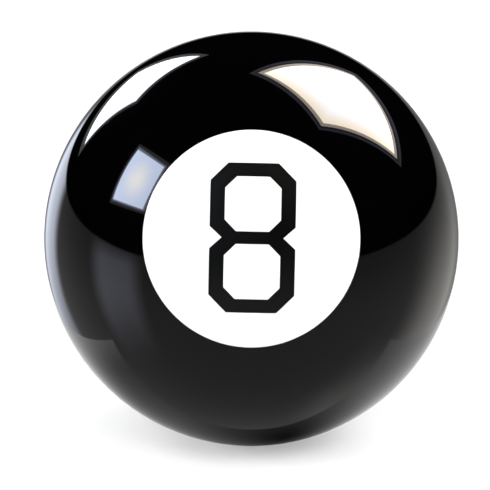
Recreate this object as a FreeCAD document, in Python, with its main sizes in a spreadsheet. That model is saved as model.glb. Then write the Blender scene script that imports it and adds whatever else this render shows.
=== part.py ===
import FreeCAD, Part
import math
import os
import Sketcher

# A hollow fortune-telling ball. Every piece is drawn about the ball's own centre:
# local +Z runs through the middle of the number disc, local -Z through the window,
# and local +Y is the figure's upward direction. The last step leans the whole ball
# back so that it lies on a table with the figure facing forwards.

doc = FreeCAD.newDocument("fortune_ball")
sheet = doc.addObject("Spreadsheet::Sheet", "Sizes")

SIZES = {
    # ball and its two shells
    "ball_radius": "50.8",
    "shell_wall": "2.6",
    "tilt_angle": "17",
    "seam_bevel": "0.25",
    "tongue_depth": "2.5",
    "tongue_width": "1.2",
    "seam_gap": "0.05",
    "base_height": "44.2",
    "base_floor": "2.8",
    "base_edge_fillet": "0.8",
    "opening_radius": "19",
    # ribs that hold the reservoir
    "rib_width": "1.8",
    "rib_root": "0.8",
    "rib_start": "4",
    "rib_foot_radius": "20.5",
    "rib_stop_radius": "18",
    "rib_gap": "0.1",
    # number disc and figure
    "disc_radius": "24.45",
    "disc_depth": "1.2",
    "disc_gap": "0.05",
    "disc_turn": "1.2",
    "figure_depth": "0.6",
    "figure_gap": "0.04",
    "figure_width": "19.1",
    "figure_height": "33.4",
    "figure_stroke": "3.25",
    "figure_bar": "3",
    "figure_waist": "2.75",
    "figure_chamfer": "3.95",
    "figure_inner_chamfer": "2.6",
    "figure_notch_depth": "2.7",
    "figure_notch_half": "2.45",
    "figure_up_angle": "0.2",
    "figure_side_angle": "0.25",
    "figure_margin": "3.3",
    "figure_overshoot": "5",
    # reservoir tube and its two caps
    "tube_radius": "28",
    "tube_wall": "1.8",
    "tube_front": "36.4",
    "tube_back": "30",
    "cap_plate": "2",
    "spigot_length": "2",
    "spigot_width": "1.5",
    "bond_gap": "0.05",
    "window_radius": "18.8",
    "window_face": "43.2",
    "window_bevel": "0.4",
    "window_side": "2",
    # filling hole and its stopper
    "fill_radius": "4",
    "fill_boss_radius": "6.5",
    "fill_boss_height": "2",
    "plug_inside": "1",
    "plug_head_radius": "5.5",
    "plug_head_height": "1.6",
    # bubble trap
    "funnel_start": "2",
    "funnel_skirt": "4",
    "funnel_wall": "1.2",
    "funnel_rise": "16",
    "funnel_hole_radius": "5",
    # floating die and liquid
    "die_edge": "20",
    "die_wall": "1.6",
    "die_lip": "1.2",
    "die_lip_width": "1",
    "die_lip_gap": "0.06",
    "die_block_half": "40",
    "mark_height": "0.4",
    "mark_width": "1",
    "mark_sink": "0.2",
    "border_scale": "0.78",
    "symbol_radius": "2.4",
    "liquid_gap": "0.3",
}

# Sizes that follow from the ones above. Each is one corner coordinate of a profile.
DERIVED = {
    "shell_inside": "ball_radius - shell_wall",
    "tongue_radius": "shell_inside + tongue_width",
    "rebate_radius": "tongue_radius + seam_gap",
    "rebate_depth": "tongue_depth + 2 * seam_gap",
    "seam_radius": "ball_radius - seam_bevel",
    "seam_rim": "sqrt(ball_radius ^ 2 - seam_bevel ^ 2)",
    "rebate_inside": "sqrt(shell_inside ^ 2 - rebate_depth ^ 2)",
    "floor_height": "base_height - base_floor",
    "floor_radius": "sqrt(shell_inside ^ 2 - floor_height ^ 2)",
    "base_radius": "sqrt(ball_radius ^ 2 - base_height ^ 2)",
    "recess_radius": "disc_radius + disc_gap",
    "recess_inside": "ball_radius - disc_depth - disc_gap",
    "recess_rim": "sqrt(ball_radius ^ 2 - recess_radius ^ 2)",
    "recess_floor": "sqrt(recess_inside ^ 2 - recess_radius ^ 2)",
    "disc_inside": "ball_radius - disc_depth",
    "disc_rim": "sqrt(ball_radius ^ 2 - disc_radius ^ 2)",
    "disc_floor": "sqrt(disc_inside ^ 2 - disc_radius ^ 2)",
    "figure_reach": "figure_height / 2 + figure_margin",
    "figure_top": "ball_radius + figure_overshoot",
    "figure_inside": "ball_radius - figure_depth",
    "figure_rim": "sqrt(ball_radius ^ 2 - figure_reach ^ 2)",
    "figure_floor": "sqrt(figure_inside ^ 2 - figure_reach ^ 2)",
    "slot_inside": "figure_inside - figure_gap",
    "slot_floor": "sqrt(slot_inside ^ 2 - figure_reach ^ 2)",
    "rib_inner": "tube_radius + rib_gap",
    "rib_outside": "shell_inside + rib_root",
    "rib_rim": "sqrt(rib_outside ^ 2 - rib_start ^ 2)",
    "rib_base": "floor_height + rib_root",
    "rib_base_radius": "sqrt(rib_outside ^ 2 - rib_base ^ 2)",
    "flange_front": "tube_front + cap_plate",
    "rib_seat": "flange_front + bond_gap",
    "end_cap_back": "tube_back + cap_plate",
    "rib_stop": "end_cap_back + rib_gap",
    "rib_stop_rim": "sqrt(rib_outside ^ 2 - rib_stop_radius ^ 2)",
    "bore_radius": "tube_radius - tube_wall",
    "tube_front_end": "tube_front - bond_gap",
    "tube_back_end": "tube_back - bond_gap",
    "spigot_radius": "bore_radius - bond_gap",
    "spigot_inside": "spigot_radius - spigot_width",
    "front_spigot_end": "tube_front - spigot_length",
    "back_spigot_end": "tube_back - spigot_length",
    "window_shoulder": "window_face - window_bevel",
    "window_rim": "window_radius - window_bevel",
    "window_back": "window_face - cap_plate",
    "window_bore": "window_radius - window_side",
    "fill_boss_back": "end_cap_back + fill_boss_height",
    "plug_radius": "fill_radius - bond_gap",
    "plug_front": "tube_back - plug_inside",
    "plug_seat": "fill_boss_back + bond_gap",
    "plug_back": "plug_seat + plug_head_height",
    "skirt_inside": "spigot_radius - funnel_wall",
    "skirt_end": "funnel_start + funnel_skirt",
    "funnel_back": "skirt_end + funnel_rise",
    "funnel_lip_radius": "funnel_hole_radius + funnel_wall",
    "cone_start": "skirt_end - funnel_wall",
    "cone_end": "funnel_back - funnel_wall",
    "liquid_radius": "bore_radius - liquid_gap",
    "liquid_face": "window_back - liquid_gap",
    "liquid_boss": "window_bore - liquid_gap",
    "liquid_plate": "tube_front - liquid_gap",
    "liquid_neck": "spigot_inside - liquid_gap",
    "liquid_step": "front_spigot_end - liquid_gap",
    "liquid_skirt": "funnel_start - liquid_gap",
    "liquid_skirt_radius": "skirt_inside - liquid_gap",
    "liquid_cone_start": "cone_start - liquid_gap",
    "liquid_hole": "funnel_hole_radius - liquid_gap",
    "liquid_cone_end": "cone_end - liquid_gap",
    "liquid_lip": "funnel_back + liquid_gap",
    "liquid_lip_radius": "funnel_lip_radius + liquid_gap",
    "liquid_cone_back": "skirt_end + 2 * liquid_gap",
    "liquid_back_step": "back_spigot_end - liquid_gap",
    "liquid_back": "tube_back - liquid_gap",
    "liquid_plug": "plug_radius + liquid_gap",
    "liquid_plug_face": "plug_front - liquid_gap",
}


def figure_sizes(prefix, grow):
    """Corner coordinates of the figure's outline, with its strokes thickened by grow."""
    half_counter = "(figure_height - 2 * figure_bar - figure_waist) / 2"
    return {
        prefix + "_side": f"figure_width / 2 + {grow}",
        prefix + "_top": f"figure_height / 2 + {grow}",
        prefix + "_top_corner": f"figure_width / 2 + {grow} - figure_chamfer",
        prefix + "_side_corner": f"figure_height / 2 + {grow} - figure_chamfer",
        prefix + "_notch": f"figure_width / 2 + {grow} - figure_notch_depth",
        prefix + "_notch_half": "figure_notch_half",
        prefix + "_hole_side": f"figure_width / 2 - figure_stroke - {grow}",
        prefix + "_hole_corner": f"figure_width / 2 - figure_stroke - {grow} - figure_inner_chamfer",
        prefix + "_hole_low": f"figure_waist / 2 + {grow}",
        prefix + "_hole_low_corner": f"figure_waist / 2 + {grow} + figure_inner_chamfer",
        prefix + "_hole_high": f"figure_waist / 2 + {half_counter} - {grow}",
        prefix + "_hole_high_corner": f"figure_waist / 2 + {half_counter} - {grow} - figure_inner_chamfer",
    }


DERIVED.update(figure_sizes("eight", "0"))
DERIVED.update(figure_sizes("slot", "figure_gap"))


def fill_sheet():
    """Write every size to the sheet with its name beside it and as the cell's alias."""
    rows = [(alias, text) for alias, text in SIZES.items()]
    rows += [(alias, "=" + formula) for alias, formula in DERIVED.items()]
    for row, (alias, text) in enumerate(rows, start=1):
        sheet.set(f"A{row}", alias)
        sheet.setAlias(f"B{row}", alias)
        sheet.set(f"B{row}", text)
    doc.recompute()


fill_sheet()


def size(alias):
    """A size from the sheet in millimetres, negated if the alias starts with a minus."""
    if alias == "0":
        return 0.0
    if alias.startswith("-"):
        return -float(sheet.get(alias[1:]))
    return float(sheet.get(alias))


def bind(target, path, alias):
    """Let the sheet drive one property or constraint."""
    sign = "-" if alias.startswith("-") else ""
    target.setExpression(path, f"{sign}{sheet.Name}.{alias.lstrip('-')}")


TABLE_POSE = FreeCAD.Placement(
    FreeCAD.Vector(0, 0, size("ball_radius")),
    FreeCAD.Rotation(FreeCAD.Vector(1, 0, 0), 90 - size("tilt_angle")),
)
# The number disc is set in turned a little clockwise, and the figure turns with it.
DISC_POSE = TABLE_POSE * FreeCAD.Placement(
    FreeCAD.Vector(0, 0, 0),
    FreeCAD.Rotation(FreeCAD.Vector(0, 0, 1), -size("disc_turn")),
)
# The figure sits a hair above and to the right of the disc's middle, swung about the ball's centre.
FIGURE_OFFSET = FreeCAD.Placement(
    FreeCAD.Vector(0, 0, 0),
    FreeCAD.Rotation(FreeCAD.Vector(0, 1, 0), size("figure_side_angle"))
    * FreeCAD.Rotation(FreeCAD.Vector(1, 0, 0), -size("figure_up_angle")),
)
AT_CENTRE = FreeCAD.Placement()
SIDE_PLANE = "XZ_Plane"
FACE_PLANE = "XY_Plane"
HORIZONTAL_AXIS = -1
VERTICAL_AXIS = -2
START_POINT = 1
END_POINT = 2
CENTRE_POINT = 3
FULL_TURN = 360
RIB_COUNT = 6
SAME_PLACE = 0.01


def new_body(label, placement):
    """An empty body in the ball's own axes."""
    body = doc.addObject("PartDesign::Body", label)
    body.Label = label
    body.Placement = placement
    return body


def new_sketch(body, label, role):
    """A sketch on one of the body's own origin planes."""
    sketch = body.newObject("Sketcher::SketchObject", label)
    plane = next(item for item in body.Origin.OriginFeatures if item.Role == role)
    sketch.AttachmentSupport = [(plane, "")]
    sketch.MapMode = "FlatFace"
    return sketch


def pin_point(sketch, geometry, point, across, along):
    """Hold one corner at its two coordinates, driven by the sheet."""
    for kind, alias, axis in (("DistanceX", across, VERTICAL_AXIS), ("DistanceY", along, HORIZONTAL_AXIS)):
        if alias == "0":
            sketch.addConstraint(Sketcher.Constraint("PointOnObject", geometry, point, axis))
        else:
            index = sketch.addConstraint(Sketcher.Constraint(kind, geometry, point, size(alias)))
            bind(sketch, f"Constraints[{index}]", alias)


def draw_outline(sketch, corners, arcs=()):
    """A closed outline through corners. The side that leaves a corner listed in arcs is part of
    a circle about a point on the vertical axis."""
    places = [FreeCAD.Vector(size(across), size(along), 0) for across, along in corners]
    starts = []
    ends = []
    for i, here in enumerate(places):
        there = places[(i + 1) % len(places)]
        if i in arcs:
            circle = Part.Circle(FreeCAD.Vector(0, 0, 0), FreeCAD.Vector(0, 0, 1), here.Length)
            first = math.atan2(here.y, here.x)
            last = math.atan2(there.y, there.x)
            anticlockwise = last > first
            arc = Part.ArcOfCircle(circle, min(first, last), max(first, last))
            geometry = sketch.addGeometry(arc, False)
            starts.append((geometry, START_POINT if anticlockwise else END_POINT))
            ends.append((geometry, END_POINT if anticlockwise else START_POINT))
            sketch.addConstraint(
                Sketcher.Constraint("PointOnObject", geometry, CENTRE_POINT, VERTICAL_AXIS)
            )
        else:
            geometry = sketch.addGeometry(Part.LineSegment(here, there), False)
            starts.append((geometry, START_POINT))
            ends.append((geometry, END_POINT))
    for i in range(len(places)):
        before = ends[i - 1]
        sketch.addConstraint(Sketcher.Constraint("Coincident", *before, *starts[i]))
        pin_point(sketch, *starts[i], *corners[i])


def revolve(body, label, corners, arcs=()):
    """A full turn of an outline about the ball's window axis."""
    sketch = new_sketch(body, label + "_profile", SIDE_PLANE)
    draw_outline(sketch, corners, arcs)
    turn = body.newObject("PartDesign::Revolution", label)
    turn.Profile = sketch
    turn.ReferenceAxis = (sketch, ["V_Axis"])
    turn.Angle = FULL_TURN
    body.Tip = turn
    doc.recompute()
    return turn


def groove(body, label, outlines):
    """Cut a full turn of one or more outlines, and make sure that material went."""
    before = body.Shape.Volume
    sketch = new_sketch(body, label + "_profile", SIDE_PLANE)
    for corners, arcs in outlines:
        draw_outline(sketch, corners, arcs)
    cut = body.newObject("PartDesign::Groove", label)
    cut.Profile = sketch
    cut.ReferenceAxis = (sketch, ["V_Axis"])
    cut.Angle = FULL_TURN
    body.Tip = cut
    doc.recompute()
    if body.Shape.Volume >= before:
        raise RuntimeError(f"{label} removed nothing")
    return cut


def add_ribs(body, label, corners, arcs):
    """Equal radial ribs inside a shell, from one rib outline."""
    before = body.Shape.Volume
    sketch = new_sketch(body, label + "_profile", SIDE_PLANE)
    draw_outline(sketch, corners, arcs)
    rib = body.newObject("PartDesign::Pad", label)
    rib.Profile = sketch
    bind(rib, "Length", "rib_width")
    rib.Midplane = True
    body.Tip = rib
    doc.recompute()
    ring = body.newObject("PartDesign::PolarPattern", label + "_ring")
    ring.Originals = [rib]
    axis = next(item for item in body.Origin.OriginFeatures if item.Role == "Z_Axis")
    ring.Axis = (axis, [""])
    ring.Angle = FULL_TURN
    ring.Occurrences = RIB_COUNT
    body.Tip = ring
    doc.recompute()
    if body.Shape.Volume <= before:
        raise RuntimeError(f"{label} added nothing")


def soften_circle(body, label, radius, height, fillet):
    """Round the circular edge of one radius at one height."""
    edges = []
    for number, edge in enumerate(body.Shape.Edges, start=1):
        if not isinstance(edge.Curve, Part.Circle):
            continue
        middle = body.Placement.inverse().multVec(edge.CenterOfMass)
        same_radius = abs(edge.Curve.Radius - size(radius)) < SAME_PLACE
        same_height = abs(middle.z - size(height)) < SAME_PLACE
        if same_radius and same_height:
            edges.append(f"Edge{number}")
    if not edges:
        raise RuntimeError(f"{label} found no edge")
    base = body.Tip
    rounded = body.newObject("PartDesign::Fillet", label)
    rounded.Base = (base, edges)
    bind(rounded, "Radius", fillet)
    body.Tip = rounded
    doc.recompute()


def figure_outlines(prefix):
    """The block figure eight: one outer outline and its two counters."""
    names = "side top top_corner side_corner notch notch_half".split()
    side, top, top_corner, side_corner, notch, notch_half = (f"{prefix}_{name}" for name in names)
    right = [
        (top_corner, top),
        (side, side_corner),
        (side, notch_half),
        (notch, "0"),
        (side, "-" + notch_half),
        (side, "-" + side_corner),
        (top_corner, "-" + top),
    ]
    left = [("-" + across, along) for across, along in reversed(right)]
    outer = right + left

    names = "hole_side hole_corner hole_low hole_low_corner hole_high hole_high_corner".split()
    hole_side, hole_corner, low, low_corner, high, high_corner = (f"{prefix}_{name}" for name in names)
    half = [(hole_corner, high), (hole_side, high_corner), (hole_side, low_corner), (hole_corner, low)]
    upper = half + [("-" + across, along) for across, along in reversed(half)]
    lower = [(across, "-" + along) for across, along in upper]
    return [outer, upper, lower]


def figure_body(label, prefix, inside, floor, top_outline, placement):
    """The figure as a prism along the window axis, trimmed to a layer of the sphere."""
    body = new_body(label, placement)
    sketch = new_sketch(body, label + "_outline", FACE_PLANE)
    for corners in figure_outlines(prefix):
        draw_outline(sketch, corners)
    prism = body.newObject("PartDesign::Pad", label + "_prism")
    prism.Profile = sketch
    bind(prism, "Length", "figure_top")
    body.Tip = prism
    doc.recompute()
    under = ([("0", "0"), ("figure_reach", "0"), ("figure_reach", floor), ("0", inside)], (2,))
    groove(body, label + "_trim", [under] + top_outline)
    return body


# ---- number shell: the half that carries the disc and figure

number_shell = new_body("number_shell", TABLE_POSE)
revolve(
    number_shell,
    "number_shell_wall",
    [
        ("shell_inside", "-tongue_depth"),
        ("tongue_radius", "-tongue_depth"),
        ("tongue_radius", "0"),
        ("seam_radius", "0"),
        ("seam_rim", "seam_bevel"),
        ("recess_radius", "recess_rim"),
        ("recess_radius", "recess_floor"),
        ("0", "recess_inside"),
        ("0", "shell_inside"),
        ("shell_inside", "0"),
    ],
    arcs=(4, 6, 8),
)
add_ribs(
    number_shell,
    "number_shell_ribs",
    [
        ("rib_inner", "rib_start"),
        ("rib_rim", "rib_start"),
        ("rib_stop_radius", "rib_stop_rim"),
        ("rib_stop_radius", "rib_stop"),
        ("rib_inner", "rib_stop"),
    ],
    arcs=(1,),
)

# ---- window shell: the half with the flat base ring and the opening

window_shell = new_body("window_shell", TABLE_POSE)
revolve(
    window_shell,
    "window_shell_wall",
    [
        ("seam_radius", "0"),
        ("rebate_radius", "0"),
        ("rebate_radius", "-rebate_depth"),
        ("rebate_inside", "-rebate_depth"),
        ("floor_radius", "-floor_height"),
        ("opening_radius", "-floor_height"),
        ("opening_radius", "-base_height"),
        ("base_radius", "-base_height"),
        ("seam_rim", "-seam_bevel"),
    ],
    arcs=(3, 7),
)
add_ribs(
    window_shell,
    "window_shell_ribs",
    [
        ("rib_inner", "-rib_start"),
        ("rib_inner", "-rib_seat"),
        ("rib_foot_radius", "-rib_seat"),
        ("rib_foot_radius", "-rib_base"),
        ("rib_base_radius", "-rib_base"),
        ("rib_rim", "-rib_start"),
    ],
    arcs=(4,),
)
soften_circle(window_shell, "base_ring_edge", "base_radius", "-base_height", "base_edge_fillet")
soften_circle(window_shell, "opening_edge", "opening_radius", "-base_height", "window_bevel")

# ---- number disc: a white cap of the sphere with a slot for the figure

disc_blank = new_body("disc_blank", AT_CENTRE)
revolve(
    disc_blank,
    "disc_cap",
    [
        ("disc_radius", "disc_rim"),
        ("0", "ball_radius"),
        ("0", "disc_inside"),
        ("disc_radius", "disc_floor"),
    ],
    arcs=(0, 2),
)
figure_slot = figure_body("figure_slot", "slot", "slot_inside", "slot_floor", [], FIGURE_OFFSET)
number_disc = doc.addObject("Part::Cut", "number_disc")
number_disc.Base = disc_blank
number_disc.Tool = figure_slot
number_disc.Label = "number_disc"
number_disc.Placement = DISC_POSE

# ---- figure eight: black, flush with the sphere

above_sphere = (
    [
        ("0", "ball_radius"),
        ("figure_reach", "figure_rim"),
        ("figure_reach", "figure_top"),
        ("0", "figure_top"),
    ],
    (0,),
)
numeral_eight = figure_body(
    "numeral_eight",
    "eight",
    "figure_inside",
    "figure_floor",
    [above_sphere],
    DISC_POSE * FIGURE_OFFSET,
)

# ---- reservoir: tube, clear window cap, end cap and stopper

reservoir_tube = new_body("reservoir_tube", TABLE_POSE)
revolve(
    reservoir_tube,
    "tube_wall_ring",
    [
        ("bore_radius", "-tube_front_end"),
        ("tube_radius", "-tube_front_end"),
        ("tube_radius", "tube_back_end"),
        ("bore_radius", "tube_back_end"),
    ],
)

window_cap = new_body("window_cap", TABLE_POSE)
revolve(
    window_cap,
    "window_cap_body",
    [
        ("0", "-window_face"),
        ("window_rim", "-window_face"),
        ("window_radius", "-window_shoulder"),
        ("window_radius", "-flange_front"),
        ("tube_radius", "-flange_front"),
        ("tube_radius", "-tube_front"),
        ("spigot_radius", "-tube_front"),
        ("spigot_radius", "-front_spigot_end"),
        ("spigot_inside", "-front_spigot_end"),
        ("spigot_inside", "-tube_front"),
        ("window_bore", "-tube_front"),
        ("window_bore", "-window_back"),
        ("0", "-window_back"),
    ],
)

reservoir_end_cap = new_body("reservoir_end_cap", TABLE_POSE)
revolve(
    reservoir_end_cap,
    "end_cap_body",
    [
        ("fill_radius", "tube_back"),
        ("spigot_inside", "tube_back"),
        ("spigot_inside", "back_spigot_end"),
        ("spigot_radius", "back_spigot_end"),
        ("spigot_radius", "tube_back"),
        ("tube_radius", "tube_back"),
        ("tube_radius", "end_cap_back"),
        ("fill_boss_radius", "end_cap_back"),
        ("fill_boss_radius", "fill_boss_back"),
        ("fill_radius", "fill_boss_back"),
    ],
)

fill_plug = new_body("fill_plug", TABLE_POSE)
revolve(
    fill_plug,
    "plug_body",
    [
        ("0", "plug_front"),
        ("plug_radius", "plug_front"),
        ("plug_radius", "plug_seat"),
        ("plug_head_radius", "plug_seat"),
        ("plug_head_radius", "plug_back"),
        ("0", "plug_back"),
    ],
)
soften_circle(fill_plug, "plug_head_edge", "plug_head_radius", "plug_back", "window_bevel")

# ---- bubble trap: a conical baffle whose skirt is bonded in the tube

bubble_funnel = new_body("bubble_funnel", TABLE_POSE)
revolve(
    bubble_funnel,
    "funnel_wall_ring",
    [
        ("spigot_radius", "funnel_start"),
        ("spigot_radius", "skirt_end"),
        ("funnel_lip_radius", "funnel_back"),
        ("funnel_hole_radius", "funnel_back"),
        ("funnel_hole_radius", "cone_end"),
        ("skirt_inside", "cone_start"),
        ("skirt_inside", "funnel_start"),
    ],
)

# ---- floating die: a hollow icosahedron in two halves, one face towards the window

GOLDEN = (1 + math.sqrt(5)) / 2
FACE_COUNT = 20
UNIT_EDGE = 2
INRADIUS_PER_EDGE = GOLDEN ** 2 / (2 * math.sqrt(3))


def icosahedron_faces(edge):
    """The twenty triangles of an icosahedron, turned so that one face looks along -Z."""
    corners = []
    for a in (-1, 1):
        for b in (-GOLDEN, GOLDEN):
            corners += [FreeCAD.Vector(0, a, b), FreeCAD.Vector(a, b, 0), FreeCAD.Vector(b, 0, a)]
    triples = []
    for i in range(len(corners)):
        for j in range(i + 1, len(corners)):
            for k in range(j + 1, len(corners)):
                sides = (
                    (corners[i] - corners[j]).Length,
                    (corners[j] - corners[k]).Length,
                    (corners[k] - corners[i]).Length,
                )
                if max(sides) < UNIT_EDGE + SAME_PLACE:
                    triples.append((corners[i], corners[j], corners[k]))
    if len(triples) != FACE_COUNT:
        raise RuntimeError("an icosahedron has twenty faces")
    middle = (triples[0][0] + triples[0][1] + triples[0][2]) / 3
    turn = FreeCAD.Rotation(middle, FreeCAD.Vector(0, 0, -1))
    upright = turn.multVec(triples[0][0])
    spin = FreeCAD.Rotation(FreeCAD.Vector(0, 0, 1), 90 - math.degrees(math.atan2(upright.y, upright.x)))
    scale = edge / UNIT_EDGE
    return [[spin.multVec(turn.multVec(v)) * scale for v in triple] for triple in triples]


def triangle_frame(points):
    """The plane of a triangle: its middle, outward normal and the direction to its first corner."""
    middle = (points[0] + points[1] + points[2]) / 3
    normal = FreeCAD.Vector(middle).normalize()
    up = (points[0] - middle).normalize()
    return middle, normal, up


def icosahedron_solid(inradius):
    """A solid icosahedron of the given inradius."""
    faces = []
    for points in icosahedron_faces(inradius / INRADIUS_PER_EDGE):
        faces.append(Part.Face(Part.makePolygon(points + [points[0]])))
    return Part.Solid(Part.makeShell(faces))


def raised_prism(outline, normal, sink, height):
    """A flat outline made into a prism from sink below its plane to height above it."""
    base = [point - normal * sink for point in outline]
    face = Part.Face(Part.makePolygon(base + [base[0]]))
    return face.extrude(normal * (sink + height))


def raised_marks(points, symbol):
    """A raised triangular border and one plain symbol for a face of the die."""
    middle, normal, up = triangle_frame(points)
    side = normal.cross(up)
    sink = size("mark_sink")
    height = size("mark_height")
    width = size("mark_width")
    reach = size("symbol_radius")
    outer = [middle + (v - middle) * size("border_scale") for v in points]
    # moving the border's three sides in by its width moves its corners in by twice that
    shrink = 1 - 2 * width / (outer[0] - middle).Length
    inner = [middle + (v - middle) * shrink for v in outer]
    border = raised_prism(outer, normal, sink, height).cut(
        raised_prism(inner, normal, 2 * sink, 2 * height)
    )

    def bar(along, across):
        corners = [(-reach, -width / 2), (reach, -width / 2), (reach, width / 2), (-reach, width / 2)]
        return raised_prism([middle + along * a + across * b for a, b in corners], normal, sink, height)

    if symbol == "ring":
        base = middle - normal * sink
        disc = Part.makeCylinder(reach, sink + height, base, normal)
        mark = disc.cut(Part.makeCylinder(reach - width, sink + height, base, normal))
    elif symbol == "bar":
        mark = bar(side, up)
    else:
        mark = bar((side + up).normalize(), (side - up).normalize()).fuse(
            bar((side - up).normalize(), (side + up).normalize())
        )
    return [border, mark]


SYMBOLS = ("ring", "bar", "ring", "cross")


def marked_icosahedron():
    """The die's outside: a solid icosahedron with its raised borders and symbols."""
    solid = icosahedron_solid(size("die_edge") * INRADIUS_PER_EDGE)
    raised = []
    for number, points in enumerate(icosahedron_faces(size("die_edge"))):
        raised += raised_marks(points, SYMBOLS[number % len(SYMBOLS)])
    return solid.fuse(raised)


BLOCK_HALF = size("die_block_half")


def block_between(low, high):
    """A block right across the die, from one height to another."""
    corner = FreeCAD.Vector(-BLOCK_HALF, -BLOCK_HALF, low)
    return Part.makeBox(2 * BLOCK_HALF, 2 * BLOCK_HALF, high - low, corner)


die_inradius = size("die_edge") * INRADIUS_PER_EDGE
die_hollow = die_inradius - size("die_wall")
lip_outside = die_hollow - size("die_lip_gap")
lip_inside = lip_outside - size("die_lip_width")
die_outside = marked_icosahedron()
die_shell = die_outside.cut(icosahedron_solid(die_hollow))
half_gap = size("bond_gap") / 2

window_half = die_shell.common(block_between(-BLOCK_HALF, -half_gap))
back_wall = die_shell.common(block_between(half_gap, BLOCK_HALF))
lip_ring = icosahedron_solid(lip_outside).cut(icosahedron_solid(lip_inside))
lip_root = icosahedron_solid(die_hollow + size("mark_sink")).cut(icosahedron_solid(lip_inside))
lip = lip_ring.common(block_between(-size("die_lip"), size("die_lip")))
lip_root = lip_root.common(block_between(half_gap, size("die_lip")))
back_half = back_wall.fuse([lip, lip_root]).removeSplitter()

for label, shape in (("die_window_half", window_half), ("die_back_half", back_half)):
    feature = doc.addObject("Part::Feature", label)
    feature.Label = label
    feature.Shape = shape
    feature.Placement = TABLE_POSE

# ---- liquid: fills the reservoir round the die, through the funnel's hole

liquid_blank = new_body("liquid_blank", AT_CENTRE)
revolve(
    liquid_blank,
    "liquid_body",
    [
        ("0", "-liquid_face"),
        ("liquid_boss", "-liquid_face"),
        ("liquid_boss", "-liquid_plate"),
        ("liquid_neck", "-liquid_plate"),
        ("liquid_neck", "-liquid_step"),
        ("liquid_radius", "-liquid_step"),
        ("liquid_radius", "liquid_skirt"),
        ("liquid_skirt_radius", "liquid_skirt"),
        ("liquid_skirt_radius", "liquid_cone_start"),
        ("liquid_hole", "liquid_cone_end"),
        ("liquid_hole", "liquid_lip"),
        ("liquid_lip_radius", "liquid_lip"),
        ("liquid_radius", "liquid_cone_back"),
        ("liquid_radius", "liquid_back_step"),
        ("liquid_neck", "liquid_back_step"),
        ("liquid_neck", "liquid_back"),
        ("liquid_plug", "liquid_back"),
        ("liquid_plug", "liquid_plug_face"),
        ("0", "liquid_plug_face"),
    ],
)
die_room = doc.addObject("Part::Feature", "die_room")
die_room.Shape = icosahedron_solid(die_inradius + size("mark_height") + size("liquid_gap"))
dyed_liquid = doc.addObject("Part::Cut", "dyed_liquid")
dyed_liquid.Base = liquid_blank
dyed_liquid.Tool = die_room
dyed_liquid.Label = "dyed_liquid"
dyed_liquid.Placement = TABLE_POSE

doc.recompute()

NODES = [
    "number_shell",
    "window_shell",
    "number_disc",
    "numeral_eight",
    "reservoir_tube",
    "window_cap",
    "reservoir_end_cap",
    "fill_plug",
    "bubble_funnel",
    "die_window_half",
    "die_back_half",
    "dyed_liquid",
]

for item in doc.Objects:
    if "Invalid" in item.State or "Error" in item.State:
        raise RuntimeError(f"{item.Label} didn't recompute: {item.State}")

os.makedirs("parts", exist_ok=True)
for label in NODES:
    piece = doc.getObjectsByLabel(label)[0]
    if piece.Shape.isNull() or not piece.Shape.isValid():
        raise RuntimeError(f"{label} has no valid shape")
    if len(piece.Shape.Solids) != 1:
        raise RuntimeError(f"{label} has {len(piece.Shape.Solids)} solids")
    piece.Shape.exportStep(os.path.join("parts", label + ".step"))
    print(label, round(piece.Shape.Volume), "mm3")
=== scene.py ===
import math

import bmesh
import bpy
from mathutils import Matrix, Vector
from mathutils.geometry import delaunay_2d_cdt

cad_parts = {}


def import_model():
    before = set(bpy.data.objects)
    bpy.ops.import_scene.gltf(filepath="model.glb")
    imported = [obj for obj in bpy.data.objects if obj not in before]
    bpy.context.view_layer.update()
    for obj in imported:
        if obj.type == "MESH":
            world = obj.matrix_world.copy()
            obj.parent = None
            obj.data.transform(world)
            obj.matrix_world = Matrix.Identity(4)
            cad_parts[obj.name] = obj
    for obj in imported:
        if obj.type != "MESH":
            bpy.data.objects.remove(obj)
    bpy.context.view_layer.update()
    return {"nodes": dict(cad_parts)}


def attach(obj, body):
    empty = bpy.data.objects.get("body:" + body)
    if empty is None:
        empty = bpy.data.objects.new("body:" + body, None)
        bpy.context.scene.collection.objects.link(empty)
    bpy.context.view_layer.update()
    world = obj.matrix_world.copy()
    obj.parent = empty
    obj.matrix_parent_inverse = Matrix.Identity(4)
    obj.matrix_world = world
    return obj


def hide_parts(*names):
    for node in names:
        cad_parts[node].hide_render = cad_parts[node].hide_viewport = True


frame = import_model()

# The looks of a hollow fortune-telling ball. Shapes are drawn in the ball's own axes: its centre at
# the origin, local +Z through the middle of the number disc, local -Z through the window and local +Y
# up the figure. TABLE_POSE then lays the ball on the table, leaning back.

MM = 0.001
BALL_RADIUS = 50.8 * MM
TILT = math.radians(17)
CENTRE = Vector((0, 0, BALL_RADIUS))
TABLE_POSE = Matrix.Translation(CENTRE) @ Matrix.Rotation(math.radians(90) - TILT, 4, "X")
DISC_TURN = math.radians(1.2)
DISC_POSE = TABLE_POSE @ Matrix.Rotation(-DISC_TURN, 4, "Z")
FIGURE_OFFSET = Matrix.Rotation(math.radians(0.25), 4, "Y") @ Matrix.Rotation(math.radians(-0.2), 4, "X")

TURN_STEPS = 192
ARC_STEP = math.radians(1.5)
SHARP_ANGLE = math.radians(28)


# ---- mesh helpers


def arc(radius, start, end, centre=(0.0, 0.0)):
    """Points on a circle in the (distance from axis, height) plane. Angles are in degrees from the
    outward direction."""
    first, last = math.radians(start), math.radians(end)
    steps = max(2, math.ceil(abs(last - first) / ARC_STEP))
    angles = [first + (last - first) * i / steps for i in range(steps + 1)]
    return [(centre[0] + radius * math.cos(a), centre[1] + radius * math.sin(a)) for a in angles]


def height_on(radius, across):
    """Height of a sphere's surface at one distance from its axis."""
    return math.sqrt(radius ** 2 - across ** 2)


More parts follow.
